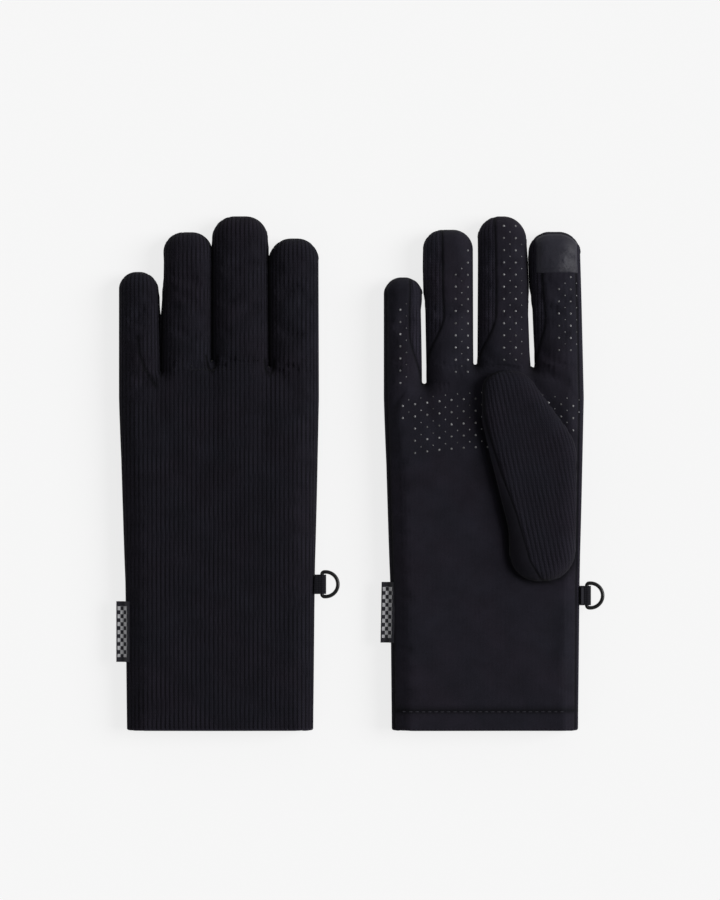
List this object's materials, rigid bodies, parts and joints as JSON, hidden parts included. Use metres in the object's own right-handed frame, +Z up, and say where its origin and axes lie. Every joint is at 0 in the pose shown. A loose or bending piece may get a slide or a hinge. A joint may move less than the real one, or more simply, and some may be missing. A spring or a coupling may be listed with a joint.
{
  "type": "touchscreen gloves",
  "caption": "Pair of knitted touchscreen gloves with rib backs, smooth dotted palms, a touch fingertip patch, side labels and D-rings; fingers and thumbs bend.",
  "frame": {"origin": "centre of the pair's footprint, on the surface that it lies on", "axes": "+Y towards the fingertips, +X from the left-hand glove to the right-hand glove, +Z up"},
  "size_m": [0.2334, 0.2448, 0.0196],
  "materials": {
    "rib_knit": "vertical rib knit, soft and matte, almost black",
    "palm_fabric": "smooth tight jersey, matte, almost black",
    "fleece_lining": "short brushed fleece",
    "touch_fabric": "smooth conductive cloth with a slight sheen",
    "grip_silicone": "small raised silicone dots",
    "thread": "matte sewing thread",
    "label_cloth": "woven satin label with a plain pale pattern",
    "webbing": "fine woven tape",
    "ring_metal": "black lacquered wire"
  },
  "bodies": {
    "left_hand": {"left_back_panel": "rib_knit", "left_palm_panel": "palm_fabric", "left_lining": "fleece_lining", "left_cuff_hem": "palm_fabric", "left_hem_stitching": "thread", "left_side_label": "label_cloth", "left_webbing_loop": "webbing", "left_loop_bartack": "thread", "left_palm_grip_dots": "grip_silicone", "left_finger_base_sleeves": "rib_knit", "left_thumb_gusset": "palm_fabric", "left_thumb_base_sleeve": "rib_knit"},
    "left_little": {"left_little_back": "rib_knit", "left_little_front": "palm_fabric", "left_little_grip_dots": "grip_silicone"},
    "left_ring": {"left_ring_back": "rib_knit", "left_ring_front": "palm_fabric", "left_ring_grip_dots": "grip_silicone"},
    "left_middle": {"left_middle_back": "rib_knit", "left_middle_front": "palm_fabric", "left_middle_grip_dots": "grip_silicone"},
    "left_index": {"left_index_back": "rib_knit", "left_index_front": "palm_fabric", "left_index_grip_dots": "grip_silicone", "left_index_touch_patch": "touch_fabric"},
    "left_thumb": {"left_thumb_back": "rib_knit", "left_thumb_front": "palm_fabric"},
    "left_ring_metal": {"left_d_ring": "ring_metal"},
    "right_hand": {"right_back_panel": "rib_knit", "right_palm_panel": "palm_fabric", "right_lining": "fleece_lining", "right_cuff_hem": "palm_fabric", "right_hem_stitching": "thread", "right_side_label": "label_cloth", "right_webbing_loop": "webbing", "right_loop_bartack": "thread", "right_palm_grip_dots": "grip_silicone", "right_finger_base_sleeves": "rib_knit", "right_thumb_gusset": "palm_fabric", "right_thumb_base_sleeve": "rib_knit"},
    "right_little": {"right_little_back": "rib_knit", "right_little_front": "palm_fabric", "right_little_grip_dots": "grip_silicone"},
    "right_ring": {"right_ring_back": "rib_knit", "right_ring_front": "palm_fabric", "right_ring_grip_dots": "grip_silicone"},
    "right_middle": {"right_middle_back": "rib_knit", "right_middle_front": "palm_fabric", "right_middle_grip_dots": "grip_silicone"},
    "right_index": {"right_index_back": "rib_knit", "right_index_front": "palm_fabric", "right_index_grip_dots": "grip_silicone", "right_index_touch_patch": "touch_fabric"},
    "right_thumb": {"right_thumb_back": "rib_knit", "right_thumb_front": "palm_fabric"},
    "right_ring_metal": {"right_d_ring": "ring_metal"}
  },
  "joints": [
    {"name": "pair_spacing", "type": "slide", "parent": "left_hand", "child": "right_hand", "axis": [1, 0, 0], "range_m": [-0.012, 0.03]},
    {"name": "left_little_curl", "type": "hinge", "parent": "left_hand", "child": "left_little", "pos_m": [-0.1059, 0.0529, 0.00645], "axis": [-1, 0, 0], "range_deg": [-30, 85], "deforming": ["left_finger_base_sleeves"]},
    {"name": "left_ring_curl", "type": "hinge", "parent": "left_hand", "child": "left_ring", "pos_m": [-0.08344, 0.0579, 0.00645], "axis": [-1, 0, 0], "range_deg": [-30, 85], "deforming": ["left_finger_base_sleeves"]},
    {"name": "left_middle_curl", "type": "hinge", "parent": "left_hand", "child": "left_middle", "pos_m": [-0.05749, 0.0579, 0.00645], "axis": [-1, 0, 0], "range_deg": [-30, 85], "deforming": ["left_finger_base_sleeves"]},
    {"name": "left_index_curl", "type": "hinge", "parent": "left_hand", "child": "left_index", "pos_m": [-0.03174, 0.0552, 0.00645], "axis": [-1, 0, 0], "range_deg": [-30, 85], "deforming": ["left_finger_base_sleeves"]},
    {"name": "left_thumb_lift", "type": "hinge", "parent": "left_hand", "child": "left_thumb", "pos_m": [-0.0404, -0.0284, 0.0034], "axis": [-0.9871, -0.1599, 0], "range_deg": [0, 80], "deforming": ["left_thumb_base_sleeve"]},
    {"name": "left_ring_swing", "type": "hinge", "parent": "left_hand", "child": "left_ring_metal", "pos_m": [-0.01841, -0.0536, 0.00645], "axis": [0, 1, 0], "range_deg": [-100, 100]},
    {"name": "right_little_curl", "type": "hinge", "parent": "right_hand", "child": "right_little", "pos_m": [0.02013, 0.0475, 0.006], "axis": [1, 0, 0], "range_deg": [-30, 85], "deforming": ["right_finger_base_sleeves"]},
    {"name": "right_ring_curl", "type": "hinge", "parent": "right_hand", "child": "right_ring", "pos_m": [0.04219, 0.0566, 0.006], "axis": [1, 0, 0], "range_deg": [-30, 85], "deforming": ["right_finger_base_sleeves"]},
    {"name": "right_middle_curl", "type": "hinge", "parent": "right_hand", "child": "right_middle", "pos_m": [0.0671, 0.0566, 0.006], "axis": [1, 0, 0], "range_deg": [-30, 85], "deforming": ["right_finger_base_sleeves"]},
    {"name": "right_index_curl", "type": "hinge", "parent": "right_hand", "child": "right_index", "pos_m": [0.09261, 0.0552, 0.006], "axis": [1, 0, 0], "range_deg": [-30, 85], "deforming": ["right_finger_base_sleeves"]},
    {"name": "right_thumb_lift", "type": "hinge", "parent": "right_hand", "child": "right_thumb", "pos_m": [0.0863, -0.0284, 0.0162], "axis": [0.9871, 0.1599, 0], "range_deg": [0, 80], "deforming": ["right_thumb_base_sleeve"]},
    {"name": "right_ring_swing", "type": "hinge", "parent": "right_hand", "child": "right_ring_metal", "pos_m": [0.10823, -0.059, 0.006], "axis": [0, 1, 0], "range_deg": [-100, 100]}
  ]
}
